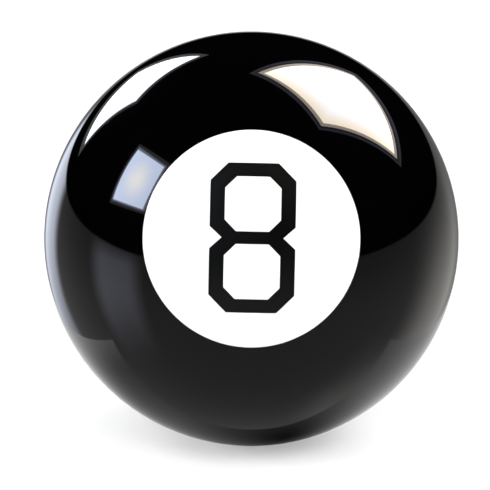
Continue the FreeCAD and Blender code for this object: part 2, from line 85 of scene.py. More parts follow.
def angle_on(radius, across):
    """Angle in degrees of the point on a sphere at one distance from its axis."""
    return math.degrees(math.acos(across / radius))


def rounded(corner, before, after, radius, steps=5):
    """A small fillet at a corner of a profile, as points from one side to the other."""
    c, b, a = (Vector(p) for p in (corner, before, after))
    to_b = (b - c).normalized()
    to_a = (a - c).normalized()
    half = to_b.angle(to_a) / 2
    reach = radius / math.tan(half)
    start, end = c + to_b * reach, c + to_a * reach
    middle = c + (to_b + to_a).normalized() * radius / math.sin(half)
    first, last = start - middle, end - middle
    points = []
    for i in range(steps + 1):
        mixed = first.lerp(last, i / steps).normalized() * radius
        points.append(tuple(middle + mixed))
    return points


def finish_mesh(bm, name, material, node, body, pose=TABLE_POSE):
    """Turn mesh code in the ball's own axes into a piece that stands for a CAD node."""
    bmesh.ops.remove_doubles(bm, verts=bm.verts, dist=1e-5)
    bmesh.ops.recalc_face_normals(bm, faces=bm.faces)
    bm.transform(pose @ Matrix.Scale(MM, 4))
    mesh = bpy.data.meshes.new(name)
    bm.to_mesh(mesh)
    bm.free()
    mesh.shade_smooth()
    mesh.set_sharp_from_angle(angle=SHARP_ANGLE)
    mesh.materials.append(material)
    piece = bpy.data.objects.new(name, mesh)
    bpy.context.scene.collection.objects.link(piece)
    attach(piece, body)
    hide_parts(node)
    return piece


def add_lathe(bm, profile):
    """Revolve a closed profile of (distance from axis, height) points about the axis."""
    rings = []
    for across, height in profile:
        if across < 1e-6:
            rings.append([bm.verts.new((0, 0, height))])
            continue
        ring = []
        for step in range(TURN_STEPS):
            angle = math.tau * step / TURN_STEPS
            ring.append(bm.verts.new((across * math.cos(angle), across * math.sin(angle), height)))
        rings.append(ring)
    for i, ring in enumerate(rings):
        after = rings[(i + 1) % len(rings)]
        if len(ring) == 1 and len(after) == 1:
            continue
        for step in range(TURN_STEPS):
            following = (step + 1) % TURN_STEPS
            corners = [ring[step % len(ring)], ring[following % len(ring)]]
            corners += [after[following % len(after)], after[step % len(after)]]
            unique = list(dict.fromkeys(corners))
            bm.faces.new(unique)


def add_rib(bm, outline, width, turn):
    """One flat radial rib: an outline in the (distance from axis, height) plane made into a plate."""
    spin = Matrix.Rotation(turn, 4, "Z")
    sides = []
    for offset in (-width / 2, width / 2):
        sides.append([bm.verts.new(spin @ Vector((across, offset, height))) for across, height in outline])
    bm.faces.new(sides[0])
    bm.faces.new(list(reversed(sides[1])))
    for i in range(len(outline)):
        j = (i + 1) % len(outline)
        bm.faces.new([sides[0][i], sides[1][i], sides[1][j], sides[0][j]])


def with_ribs(bm, outline):
    """A shell's skin joined with its ring of ribs."""
    ribs = bmesh.new()
    for i in range(RIB_COUNT):
        add_rib(ribs, outline, RIB_WIDTH, math.tau * i / RIB_COUNT)
    return joined(bm, ribs)


def joined(first, second):
    """One closed skin round two overlapping ones."""
    pieces = []
    for bm in (first, second):
        bmesh.ops.remove_doubles(bm, verts=bm.verts, dist=1e-5)
        bmesh.ops.recalc_face_normals(bm, faces=bm.faces)
        mesh = bpy.data.meshes.new("to_join")
        bm.to_mesh(mesh)
        bm.free()
        piece = bpy.data.objects.new("to_join", mesh)
        bpy.context.scene.collection.objects.link(piece)
        pieces.append(piece)
    union = pieces[0].modifiers.new("union", "BOOLEAN")
    union.operation = "UNION"
    union.solver = "EXACT"
    union.object = pieces[1]
    result = bmesh.new()
    result.from_object(pieces[0], bpy.context.evaluated_depsgraph_get())
    for piece in pieces:
        mesh = piece.data
        bpy.data.objects.remove(piece)
        bpy.data.meshes.remove(mesh)
    return result


def fine_loop(corners, step):
    """A closed outline with its long sides cut into short ones."""
    points = []
    for i, corner in enumerate(corners):
        here, there = Vector(corner), Vector(corners[(i + 1) % len(corners)])
        count = max(1, math.ceil((there - here).length / step))
        points += [here.lerp(there, k / count) for k in range(count)]
    return points


def inside(point, loop):
    """Whether a flat point lies within a closed loop."""
    hit = False
    for i, a in enumerate(loop):
        b = loop[i - 1]
        if (a.y > point.y) != (b.y > point.y):
            if point.x < (b.x - a.x) * (point.y - a.y) / (b.y - a.y) + a.x:
                hit = not hit
    return hit


def fill_loops(loops, spacing):
    """Flat triangles that fill the first loop and keep every loop's sides: points and corner numbers."""
    outer = loops[0]
    reach = max(p.length for p in outer)
    points = [p for loop in loops for p in loop]
    edges = []
    start = 0
    for loop in loops:
        edges += [(start + k, start + (k + 1) % len(loop)) for k in range(len(loop))]
        start += len(loop)
    on_loops = list(points)
    count = math.ceil(reach / spacing)
    row_height = spacing * math.sqrt(3) / 2
    for i in range(-count, count + 1):
        for j in range(-count, count + 1):
            point = Vector(((i + 0.5 * (j % 2)) * spacing, j * row_height))
            clear = all((point - p).length > spacing * 0.6 for p in on_loops)
            if clear and inside(point, outer):
                points.append(point)
    flat, _, triangles, _, _, _ = delaunay_2d_cdt(points, edges, [], 0, 1e-7)
    return flat, [triangle for triangle in triangles if inside(middle_of(flat, triangle), outer)]


def middle_of(flat, triangle):
    """The middle of a triangle given by its corner numbers."""
    return sum((flat[k] for k in triangle), Vector((0, 0))) / len(triangle)


def add_skin(bm, flat, triangles, radius):
    """Flat triangles lifted on to a sphere."""
    lifted = {}
    for triangle in triangles:
        for k in triangle:
            if k not in lifted:
                lifted[k] = bm.verts.new((flat[k].x, flat[k].y, height_on(radius, flat[k].length)))
        bm.faces.new([lifted[k] for k in triangle])


def add_wall(bm, loop, top, bottom):
    """A wall along a loop from one sphere down to another."""
    upper = [bm.verts.new((p.x, p.y, height_on(top, p.length))) for p in loop]
    lower = [bm.verts.new((p.x, p.y, height_on(bottom, p.length))) for p in loop]
    for k in range(len(loop)):
        following = (k + 1) % len(loop)
        bm.faces.new([upper[k], upper[following], lower[following], lower[k]])


# ---- materials


def new_material(name):
    """A material with its nodes and links."""
    material = bpy.data.materials.new(name)
    material.use_nodes = True
    return material, material.node_tree.nodes, material.node_tree.links


def shader_of(nodes):
    return nodes["Principled BSDF"]


def add_noise(nodes, links, scale, detail=4.0, distortion=0.0, stretch=(1, 1, 1)):
    """Noise laid through the piece in object space, scale being features per metre."""
    place = nodes.new("ShaderNodeTexCoord")
    mapping = nodes.new("ShaderNodeMapping")
    mapping.inputs["Scale"].default_value = stretch
    noise = nodes.new("ShaderNodeTexNoise")
    noise.inputs["Scale"].default_value = scale
    noise.inputs["Detail"].default_value = detail
    noise.inputs["Distortion"].default_value = distortion
    links.new(place.outputs["Object"], mapping.inputs["Vector"])
    links.new(mapping.outputs["Vector"], noise.inputs["Vector"])
    return noise.outputs["Fac"]


def ramp_between(nodes, links, source, low, high, start=0.35, end=0.65):
    """A number that runs from low to high as the source runs from start to end."""
    span = nodes.new("ShaderNodeMapRange")
    span.inputs["From Min"].default_value = start
    span.inputs["From Max"].default_value = end
    span.inputs["To Min"].default_value = low
    span.inputs["To Max"].default_value = high
    links.new(source, span.inputs["Value"])
    return span.outputs["Result"]


def colour_between(nodes, links, source, dark, light, start=0.35, end=0.65):
    """A colour that runs from dark to light as the source runs from start to end."""
    ramp = nodes.new("ShaderNodeValToRGB")
    ramp.color_ramp.elements[0].position = start
    ramp.color_ramp.elements[0].color = (*dark, 1)
    ramp.color_ramp.elements[1].position = end
    ramp.color_ramp.elements[1].color = (*light, 1)
    links.new(source, ramp.inputs["Fac"])
    return ramp.outputs["Color"]


def math_node(nodes, links, operation, first, second=0.0):
    """One step of arithmetic on numbers or other nodes' outputs."""
    node = nodes.new("ShaderNodeMath")
    node.operation = operation
    for socket, value in ((0, first), (1, second)):
        if isinstance(value, (int, float)):
            node.inputs[socket].default_value = value
        else:
            links.new(value, node.inputs[socket])
    return node.outputs["Value"]


def add_bump(nodes, links, shader, source, strength, distance):
    """Fine relief on a surface; distance is the relief's height in metres."""
    bump = nodes.new("ShaderNodeBump")
    bump.inputs["Strength"].default_value = strength
    bump.inputs["Distance"].default_value = distance
    links.new(source, bump.inputs["Height"])
    links.new(bump.outputs["Normal"], shader.inputs["Normal"])


def moulded_plastic(name, dark, light, smooth, dull, grain, relief, ior=1.5):
    """Moulded plastic: faint colour clouds, gloss that varies with handling, and a fine surface grain.
    Its colour runs from dark to light and its roughness from smooth to dull; grain is in features per
    metre and relief in metres."""
    material, nodes, links = new_material(name)
    shader = shader_of(nodes)
    clouds = add_noise(nodes, links, 35, detail=5)
    links.new(colour_between(nodes, links, clouds, dark, light), shader.inputs["Base Color"])
    smudges = add_noise(nodes, links, 60, detail=8, distortion=0.6)
    links.new(ramp_between(nodes, links, smudges, smooth, dull), shader.inputs["Roughness"])
    shader.inputs["IOR"].default_value = ior
    add_bump(nodes, links, shader, add_noise(nodes, links, grain, detail=2), 0.25, relief)
    return material


def polished_black(name):
    """Polished black shell: deep black, a mirror gloss with faint smudges and hairline scuffs."""
    material, nodes, links = new_material(name)
    shader = shader_of(nodes)
    clouds = add_noise(nodes, links, 30, detail=5)
    tint = colour_between(nodes, links, clouds, (0.0003, 0.0003, 0.0003), (0.0006, 0.0006, 0.0006))
    links.new(tint, shader.inputs["Base Color"])
    smudges = add_noise(nodes, links, 45, detail=7, distortion=0.8)
    base_gloss = ramp_between(nodes, links, smudges, 0.020, 0.040)
    hairlines = add_noise(nodes, links, 90, detail=9, distortion=0.2, stretch=(1, 14, 3))
    scuffs = ramp_between(nodes, links, hairlines, 0.0, 0.03, start=0.66, end=0.72)
    links.new(math_node(nodes, links, "ADD", base_gloss, scuffs), shader.inputs["Roughness"])
    shader.inputs["IOR"].default_value = 1.5
    add_bump(nodes, links, shader, add_noise(nodes, links, 1500, detail=2), 0.1, 0.4e-6)
    return material


def clear_plastic(name):
    """Clear moulded window with a trace of haze and moulding waviness."""
    material, nodes, links = new_material(name)
    shader = shader_of(nodes)
    shader.inputs["Base Color"].default_value = (0.97, 0.985, 1.0, 1)
    shader.inputs["Transmission Weight"].default_value = 1.0
    shader.inputs["IOR"].default_value = 1.49
    haze = add_noise(nodes, links, 80, detail=6, distortion=0.5)
    links.new(ramp_between(nodes, links, haze, 0.01, 0.05), shader.inputs["Roughness"])
    add_bump(nodes, links, shader, add_noise(nodes, links, 150, detail=1), 0.1, 5e-6)
    return material


def dyed_liquid(name):
    """Dark blue dyed liquid: clear at the surface, near black a few millimetres in."""
    material, nodes, links = new_material(name)
    shader = shader_of(nodes)
    shader.inputs["Base Color"].default_value = (0.92, 0.95, 1.0, 1)
    shader.inputs["Transmission Weight"].default_value = 1.0
    shader.inputs["IOR"].default_value = 1.36
    swirl = add_noise(nodes, links, 60, detail=3, distortion=1.0)
    links.new(ramp_between(nodes, links, swirl, 0.0, 0.02), shader.inputs["Roughness"])
    dye = nodes.new("ShaderNodeVolumeAbsorption")
    dye.inputs["Color"].default_value = (0.05, 0.09, 0.62, 1)
    dye.inputs["Density"].default_value = 420
    links.new(dye.outputs["Volume"], nodes["Material Output"].inputs["Volume"])
    return material


BLACK = polished_black("polished_black_shell")
WHITE = moulded_plastic(
    "white_disc", (0.90, 0.90, 0.895), (0.93, 0.93, 0.925), 0.10, 0.18, 1200, 1e-6
)
FIGURE = moulded_plastic(
    "black_figure", (0.0012, 0.0012, 0.0012), (0.0018, 0.0018, 0.0018), 0.34, 0.42, 1400, 2e-6
)
RESERVOIR = moulded_plastic(
    "reservoir_navy", (0.018, 0.022, 0.045), (0.030, 0.036, 0.065), 0.30, 0.45, 700, 8e-6
)
FUNNEL = moulded_plastic(
    "funnel_blue", (0.05, 0.07, 0.16), (0.08, 0.10, 0.20), 0.22, 0.35, 800, 5e-6
)
DIE = moulded_plastic("die_ivory", (0.78, 0.77, 0.72), (0.88, 0.87, 0.83), 0.28, 0.42, 900, 6e-6)
RUBBER = moulded_plastic("plug_rubber", (0.018, 0.018, 0.018), (0.040, 0.039, 0.038), 0.6, 0.8, 500, 3e-5)
CLEAR = clear_plastic("clear_window")
LIQUID = dyed_liquid("blue_liquid")


# ---- number shell

SHELL_INSIDE = 48.2
TONGUE_RADIUS, TONGUE_DEPTH = 49.4, 2.5
SEAM_BEVEL = 0.25
SPHERE = BALL_RADIUS / MM
DISC_RADIUS, DISC_DEPTH, DISC_GAP = 24.45, 1.2, 0.05
RECESS_RADIUS = DISC_RADIUS + DISC_GAP
RECESS_FLOOR = SPHERE - DISC_DEPTH - DISC_GAP
RIB_COUNT, RIB_WIDTH = 6, 1.8
RIB_INNER, RIB_OUTSIDE, RIB_START = 28.1, 49.0, 4.0
RIB_START_ANGLE = math.degrees(math.asin(RIB_START / RIB_OUTSIDE))
SEAM_ANGLE = math.degrees(math.asin(SEAM_BEVEL / SPHERE))


def number_shell():
    """The half that carries the figure, with its recess for the disc, its tongue and its ribs."""
    profile = [(SHELL_INSIDE, -TONGUE_DEPTH), (TONGUE_RADIUS, -TONGUE_DEPTH), (TONGUE_RADIUS, 0)]
    profile += [(SPHERE - SEAM_BEVEL, 0)]
    profile += arc(SPHERE, SEAM_ANGLE, angle_on(SPHERE, RECESS_RADIUS))
    profile += arc(RECESS_FLOOR, angle_on(RECESS_FLOOR, RECESS_RADIUS), 90)
    profile += arc(SHELL_INSIDE, 90, 0)
    bm = bmesh.new()
    add_lathe(bm, profile)
    stop_radius, stop_height = 18.0, 32.1
    rib = [(stop_radius, stop_height), (RIB_INNER, stop_height), (RIB_INNER, RIB_START)]
    rib += arc(RIB_OUTSIDE, RIB_START_ANGLE, angle_on(RIB_OUTSIDE, stop_radius))
    skin = with_ribs(bm, rib)
    return finish_mesh(skin, "shell_with_figure", BLACK, "number_shell", "ball")


# ---- window shell

REBATE_RADIUS, REBATE_DEPTH = 49.45, 2.6
BASE_HEIGHT, FLOOR_HEIGHT = 44.2, 41.4
OPENING_RADIUS = 19.0
BASE_EDGE_FILLET, OPENING_FILLET = 0.8, 0.4


def window_shell():
    """The half with the flat ring and the round opening, with its rebate and its ribs."""
    base_radius = height_on(SPHERE, BASE_HEIGHT)
    base_angle = -angle_on(SPHERE, base_radius)
    floor_radius = height_on(SHELL_INSIDE, FLOOR_HEIGHT)
    inner_start = -math.degrees(math.asin(REBATE_DEPTH / SHELL_INSIDE))
    inner_end = -angle_on(SHELL_INSIDE, floor_radius)
    # the ball's side, a few degrees up from the base ring, where the edge fillet heads
    side_point = arc(SPHERE, base_angle, base_angle + 4)[-1]
    profile = [(SPHERE - SEAM_BEVEL, 0), (REBATE_RADIUS, 0), (REBATE_RADIUS, -REBATE_DEPTH)]
    profile += arc(SHELL_INSIDE, inner_start, inner_end)
    profile += [(OPENING_RADIUS, -FLOOR_HEIGHT)]
    corner = (OPENING_RADIUS, -BASE_HEIGHT)
    profile += rounded(corner, (OPENING_RADIUS, -FLOOR_HEIGHT), (base_radius, -BASE_HEIGHT), OPENING_FILLET)
    corner = (base_radius, -BASE_HEIGHT)
    edge = rounded(corner, (OPENING_RADIUS, -BASE_HEIGHT), side_point, BASE_EDGE_FILLET)
    profile += edge
    last = math.degrees(math.atan2(edge[-1][1], edge[-1][0]))
    profile += arc(SPHERE, last + 0.5, -SEAM_ANGLE)
    bm = bmesh.new()
    add_lathe(bm, profile)
    foot_radius, seat_height, base_height = 20.5, 38.45, 42.2
    rib = [(RIB_INNER, -RIB_START), (RIB_INNER, -seat_height), (foot_radius, -seat_height)]
    rib += [(foot_radius, -base_height)]
    rib_base = height_on(RIB_OUTSIDE, base_height)
    rib += arc(RIB_OUTSIDE, -angle_on(RIB_OUTSIDE, rib_base), -RIB_START_ANGLE)
    skin = with_ribs(bm, rib)
    return finish_mesh(skin, "shell_with_window", BLACK, "window_shell", "ball")


# ---- number disc and figure

FIGURE_WIDTH, FIGURE_HEIGHT = 19.1, 33.4
STROKE, BAR, WAIST = 3.25, 3.0, 2.75
CHAMFER, INNER_CHAMFER = 3.95, 2.6
NOTCH_DEPTH, NOTCH_HALF = 2.7, 2.45
FIGURE_DEPTH, FIGURE_GAP = 0.6, 0.04
FINE = 1.0


def mirrored(half):
    """An outline's right half with its left half added."""
    return half + [(-x, y) for x, y in reversed(half)]


def figure_loops(grow):
    """The block figure eight: its outer outline and its two counters, with strokes thickened by grow."""
    side, top = FIGURE_WIDTH / 2 + grow, FIGURE_HEIGHT / 2 + grow
    notch = FIGURE_WIDTH / 2 + grow - NOTCH_DEPTH
    right = [(side - CHAMFER, top), (side, top - CHAMFER), (side, NOTCH_HALF), (notch, 0)]
    right += [(side, -NOTCH_HALF), (side, CHAMFER - top), (side - CHAMFER, -top)]
    counter_height = (FIGURE_HEIGHT - 2 * BAR - WAIST) / 2
    hole_side = FIGURE_WIDTH / 2 - STROKE - grow
    low, high = WAIST / 2 + grow, WAIST / 2 + counter_height - grow
    half = [(hole_side - INNER_CHAMFER, high), (hole_side, high - INNER_CHAMFER)]
    half += [(hole_side, low + INNER_CHAMFER), (hole_side - INNER_CHAMFER, low)]
    upper = mirrored(half)
    lower = [(x, -y) for x, y in upper]
    return [fine_loop(corners, FINE) for corners in (mirrored(right), upper, lower)]


def circle_loop(radius):
    """A flat circle as a closed loop."""
    angles = [math.tau * i / TURN_STEPS for i in range(TURN_STEPS)]
    return [Vector((radius * math.cos(a), radius * math.sin(a))) for a in angles]


def split_by_figure(flat, triangles, loops):
    """The triangles on the figure's strokes, and the rest."""
    outline, upper, lower = loops
    strokes, rest = [], []
    for triangle in triangles:
        middle = middle_of(flat, triangle)
        in_counter = inside(middle, upper) or inside(middle, lower)
        on_stroke = inside(middle, outline) and not in_counter
        (strokes if on_stroke else rest).append(triangle)
    return strokes, rest


def swung(loop):
    """A loop on the sphere moved with the figure's offset."""
    return [(FIGURE_OFFSET @ Vector((p.x, p.y, height_on(SPHERE, p.length)))).xy for p in loop]


def number_disc():
    """White cap of the sphere with a slot in its face for the figure."""
    loops = [swung(loop) for loop in figure_loops(FIGURE_GAP)]
    rim = circle_loop(DISC_RADIUS)
    slot_floor = SPHERE - FIGURE_DEPTH - FIGURE_GAP
    flat, triangles = fill_loops([rim] + loops, FINE)
    strokes, face = split_by_figure(flat, triangles, loops)
    bm = bmesh.new()
    add_skin(bm, flat, face, SPHERE)
    add_skin(bm, flat, strokes, slot_floor)
    add_skin(bm, flat, triangles, SPHERE - DISC_DEPTH)
    for loop in loops:
        add_wall(bm, loop, SPHERE, slot_floor)
    add_wall(bm, rim, SPHERE, SPHERE - DISC_DEPTH)
    return finish_mesh(bm, "white_number_disc", WHITE, "number_disc", "ball", DISC_POSE)


def figure_eight():
    """The black figure that fills the slot, with a hair of clearance all round."""
    loops = figure_loops(0)
    flat, triangles = fill_loops(loops, FINE)
    strokes, _ = split_by_figure(flat, triangles, loops)
    bm = bmesh.new()
    for radius in (SPHERE, SPHERE - FIGURE_DEPTH):
        add_skin(bm, flat, strokes, radius)
    for loop in loops:
        add_wall(bm, loop, SPHERE, SPHERE - FIGURE_DEPTH)
    pose = DISC_POSE @ FIGURE_OFFSET
    return finish_mesh(bm, "figure_eight_inlay", FIGURE, "numeral_eight", "ball", pose)


# ---- liquid, drawn whole: the die hangs in it, so it shows through more dye the deeper it floats

LIQUID_RADIUS = 25.9
WINDOW_WELL_RADIUS, WINDOW_WELL_END = 16.5, -40.9
CAP_COLLAR_RADIUS = 24.3
WINDOW_COLLAR_START, WINDOW_COLLAR_END = -36.1, -34.1
SKIRT_RADIUS, SKIRT_FOOT, CONE_FOOT = 24.65, 1.7, 4.5
SPOUT_INSIDE, SPOUT_OUTSIDE, CONE_TOP, SPOUT_TOP = 4.7, 6.5, 20.5, 22.3
CONE_BACK = 6.6
END_COLLAR_START, END_COLLAR_END = 27.7, 29.7
PLUG_RADIUS, PLUG_TIP = 4.25, 28.7


def liquid():
    """What fills the reservoir, from the window past the bubble trap's cone to the far end's plug."""
    profile = [(0, WINDOW_WELL_END), (WINDOW_WELL_RADIUS, WINDOW_WELL_END)]
    profile += [(WINDOW_WELL_RADIUS, WINDOW_COLLAR_START), (CAP_COLLAR_RADIUS, WINDOW_COLLAR_START)]
    profile += [(CAP_COLLAR_RADIUS, WINDOW_COLLAR_END), (LIQUID_RADIUS, WINDOW_COLLAR_END)]
    profile += [(LIQUID_RADIUS, SKIRT_FOOT), (SKIRT_RADIUS, SKIRT_FOOT), (SKIRT_RADIUS, CONE_FOOT)]
    profile += [(SPOUT_INSIDE, CONE_TOP), (SPOUT_INSIDE, SPOUT_TOP), (SPOUT_OUTSIDE, SPOUT_TOP)]
    profile += [(LIQUID_RADIUS, CONE_BACK), (LIQUID_RADIUS, END_COLLAR_START)]
    profile += [(CAP_COLLAR_RADIUS, END_COLLAR_START), (CAP_COLLAR_RADIUS, END_COLLAR_END)]
    profile += [(PLUG_RADIUS, END_COLLAR_END), (PLUG_RADIUS, PLUG_TIP), (0, PLUG_TIP)]
    bm = bmesh.new()
    add_lathe(bm, profile)
    return finish_mesh(bm, "blue_dyed_liquid", LIQUID, "dyed_liquid", "liquid")


number_shell()
window_shell()
number_disc()
figure_eight()
liquid()


# ---- CAD pieces that stay as they are, with better materials and clean shading

KEPT = {
    "reservoir_tube": (RESERVOIR, "reservoir_plastic"),
    "reservoir_end_cap": (RESERVOIR, "reservoir_plastic"),
    "fill_plug": (RUBBER, "plug_rubber"),
    "bubble_funnel": (FUNNEL, "funnel_plastic"),
    "window_cap": (CLEAR, "clear_plastic"),
    "die_window_half": (DIE, "die_plastic"),
    "die_back_half": (DIE, "die_plastic"),
}
for node, (material, slot_name) in KEPT.items():
    piece = frame["nodes"][node]
    piece.data.materials.clear()
    piece.data.materials.append(material)
    weld = piece.modifiers.new("weld", "WELD")
    weld.merge_threshold = 1e-6


# ---- floor: a plane for the camera and the soft light, and a card that only shows in the gloss: a
#  painted reflection of the floor, glowing paler by the ball than the rest, with a painted contact shadow

FLOOR_HALF = 0.8
CARD_HALF_WIDTH = 0.079
CARD_FRONT, CARD_BACK = -0.030, 0.25
# where the painted contact shadow on the gloss-only card lies, how far it spreads and how dark it gets
CONTACT_ACROSS, CONTACT_ALONG = 0.009, -0.021
CONTACT_RADIUS, CONTACT_LEVEL = 0.036, 0.035


def flat_sheet(name, left, right, front, back, material):
    """A level rectangle at floor height."""
    mesh = bpy.data.meshes.new(name)
    corners = [(left, front, 0), (right, front, 0), (right, back, 0), (left, back, 0)]
    mesh.from_pydata(corners, [], [(0, 1, 2, 3)])
    mesh.materials.append(material)
    sheet = bpy.data.objects.new(name, mesh)
    bpy.context.scene.collection.objects.link(sheet)
    return sheet


def only_in_gloss(piece):
    """Hide a stage piece from everything but reflections."""
    piece.visible_camera = False
    piece.visible_diffuse = False
    piece.visible_transmission = False
    piece.visible_shadow = False


def pale_floor():
    """The plain floor that the camera sees and the ball shades; it doesn't show in the gloss."""
    material, nodes, links = new_material("pale_floor")
    shader = shader_of(nodes)
    mottle = add_noise(nodes, links, 20, detail=5)
    tint = colour_between(nodes, links, mottle, (0.86, 0.86, 0.86), (0.88, 0.88, 0.88))
    links.new(tint, shader.inputs["Base Color"])
    shader.inputs["Roughness"].default_value = 0.8
    shader.inputs["Specular IOR Level"].default_value = 0.1
    floor = flat_sheet("floor", -FLOOR_HALF, FLOOR_HALF, -FLOOR_HALF, FLOOR_HALF, material)
    floor.visible_glossy = False
    return floor


def smooth_step(nodes, links, source, start, end, low=0.0, high=1.0):
    """A number that runs smoothly from low to high as the source runs from start to end."""
    step = nodes.new("ShaderNodeMapRange")
    step.interpolation_type = "SMOOTHSTEP"
    step.inputs["From Min"].default_value = start
    step.inputs["From Max"].default_value = end
    step.inputs["To Min"].default_value = low
    step.inputs["To Max"].default_value = high
    links.new(source, step.inputs["Value"])
    return step.outputs["Result"]


def painted_floor_reflection():
    """The floor as the ball's gloss shows it, as a painted reflection: a glowing card with a painted
    contact shadow, nearly black at the contact, and painted shade that dims it in front of the ball, more
    so on the left."""
    material, nodes, links = new_material("painted_floor_reflection")
    nodes.remove(nodes["Principled BSDF"])
    place = nodes.new("ShaderNodeTexCoord")
    split = nodes.new("ShaderNodeSeparateXYZ")
    links.new(place.outputs["Object"], split.inputs["Vector"])
    across, along = split.outputs["X"], split.outputs["Y"]
    side = math_node(nodes, links, "SUBTRACT", across, CONTACT_ACROSS)
    ahead = math_node(nodes, links, "SUBTRACT", along, CONTACT_ALONG)
    squared = math_node(nodes, links, "MULTIPLY", side, side)
    squared = math_node(nodes, links, "ADD", squared, math_node(nodes, links, "MULTIPLY", ahead, ahead))
    distance = math_node(nodes, links, "SQRT", squared)
    # painted contact shadow: the card's glow falls to CONTACT_LEVEL at the contact
    contact = smooth_step(nodes, links, distance, 0.0, CONTACT_RADIUS, CONTACT_LEVEL, 1.0)
    to_left = smooth_step(nodes, links, across, -0.009, 0.027, 1.0, 0.0)
    # painted shadow: the glow dims on the left in front of the ball
    painted_left_shadow = smooth_step(nodes, links, across, -0.090, -0.052, 0.08, 0.65)
    in_front = smooth_step(nodes, links, along, -0.022, 0.030, 1.0, 0.0)
    left = math_node(nodes, links, "SUBTRACT", 1.0, math_node(nodes, links, "MULTIPLY", painted_left_shadow, in_front))
    left = math_node(nodes, links, "MULTIPLY", left, to_left)
    # painted shade: to the right of the contact the glow is darker in front and paler towards the back
    right = smooth_step(nodes, links, along, -0.045, 0.005, 0.55, 0.87)
    to_right = math_node(nodes, links, "SUBTRACT", 1.0, to_left)
    right = math_node(nodes, links, "MULTIPLY", right, to_right)
    level = math_node(nodes, links, "ADD", left, right)
    glow = nodes.new("ShaderNodeEmission")
    links.new(math_node(nodes, links, "MULTIPLY", level, contact), glow.inputs["Strength"])
    links.new(glow.outputs["Emission"], nodes["Material Output"].inputs["Surface"])
    card = flat_sheet("floor_in_gloss", -CARD_HALF_WIDTH, CARD_HALF_WIDTH, CARD_FRONT, CARD_BACK, material)
    only_in_gloss(card)


FLOOR = pale_floor()
painted_floor_reflection()


# ---- soft boxes that only show in the gloss, and soft lights that only light

PANEL_DISTANCE = 1.2
LAYER_STEP = 0.006


def direction(azimuth, elevation):
    """A unit vector; azimuth 0 looks towards the camera side (-Y) and 90 towards +X."""
    a, e = math.radians(azimuth), math.radians(elevation)
    return Vector((math.sin(a) * math.cos(e), -math.cos(a) * math.cos(e), math.sin(e)))


def plain_glow(name, colour):
    """A panel's material that glows evenly."""
    material, nodes, links = new_material(name)
    nodes.remove(nodes["Principled BSDF"])
    glow = nodes.new("ShaderNodeEmission")
    glow.inputs["Color"].default_value = (*colour, 1)
    links.new(glow.outputs["Emission"], nodes["Material Output"].inputs["Surface"])
    return material


def panel_place(nodes, links):
    """The two panel coordinates, each running from 0 to 1."""
    place = nodes.new("ShaderNodeTexCoord")
    split = nodes.new("ShaderNodeSeparateXYZ")
    links.new(place.outputs["UV"], split.inputs["Vector"])
    return split.outputs["X"], split.outputs["Y"]


def fading_glow(name, source_of, near, far, start, end):
    """A glow that fades from one colour to another across a panel."""
    material, nodes, links = new_material(name)
    nodes.remove(nodes["Principled BSDF"])
    source = source_of(nodes, links)
    mix = nodes.new("ShaderNodeMix")
    mix.data_type = "RGBA"
    mix.inputs["A"].default_value = (*near, 1)
    mix.inputs["B"].default_value = (*far, 1)
    links.new(smooth_step(nodes, links, source, start, end), mix.inputs["Factor"])
    glow = nodes.new("ShaderNodeEmission")
    links.new(mix.outputs["Result"], glow.inputs["Color"])
    links.new(glow.outputs["Emission"], nodes["Material Output"].inputs["Surface"])
    return material


def from_two_edges(nodes, links):
    """Distance from the panel's first two edges."""
    u, v = panel_place(nodes, links)
    return math_node(nodes, links, "MINIMUM", v, math_node(nodes, links, "SUBTRACT", 1.0, u))


def from_middle(nodes, links):
    """Distance from the panel's middle."""
    u, v = panel_place(nodes, links)
    squares = []
    for coordinate in (u, v):
        offset = math_node(nodes, links, "SUBTRACT", coordinate, 0.5)
        squares.append(math_node(nodes, links, "MULTIPLY", offset, offset))
    return math_node(nodes, links, "SQRT", math_node(nodes, links, "ADD", squares[0], squares[1]))


def from_edges(nodes, links):
    """Distance from the panel's nearest edge."""
    nearest = []
    for coordinate in panel_place(nodes, links):
        opposite = math_node(nodes, links, "SUBTRACT", 1.0, coordinate)
        nearest.append(math_node(nodes, links, "MINIMUM", coordinate, opposite))
    return math_node(nodes, links, "MINIMUM", nearest[0], nearest[1])


def soft_box(name, layers, steps=24):
    """A panel hung round the ball in layers, frame first, each with its corners as (azimuth, elevation)
    and its glow. Each layer hangs a little nearer than the one before."""
    for level, (corners, material) in enumerate(layers):
        distance = PANEL_DISTANCE - level * LAYER_STEP
        points = [CENTRE + direction(*corner) * distance for corner in corners]
        bm = bmesh.new()
        layer = bm.loops.layers.uv.new("UVMap")
        grid = []
        for i in range(steps + 1):
            row = []
            for j in range(steps + 1):
                u, v = i / steps, j / steps
                low = points[0].lerp(points[1], u)
                high = points[3].lerp(points[2], u)
                towards = (low.lerp(high, v) - CENTRE).normalized()
                row.append((bm.verts.new(CENTRE + towards * distance), (u, v)))
            grid.append(row)
        for i in range(steps):
            for j in range(steps):
                around = [grid[i][j], grid[i + 1][j], grid[i + 1][j + 1], grid[i][j + 1]]
                face = bm.faces.new([vert for vert, _ in around])
                for loop, (_, uv) in zip(face.loops, around):
                    loop[layer].uv = uv
        mesh = bpy.data.meshes.new(f"{name}_{level}")
        bm.to_mesh(mesh)
        bm.free()
        mesh.materials.append(material)
        panel = bpy.data.objects.new(f"{name}_{level}", mesh)
        bpy.context.scene.collection.objects.link(panel)
        only_in_gloss(panel)


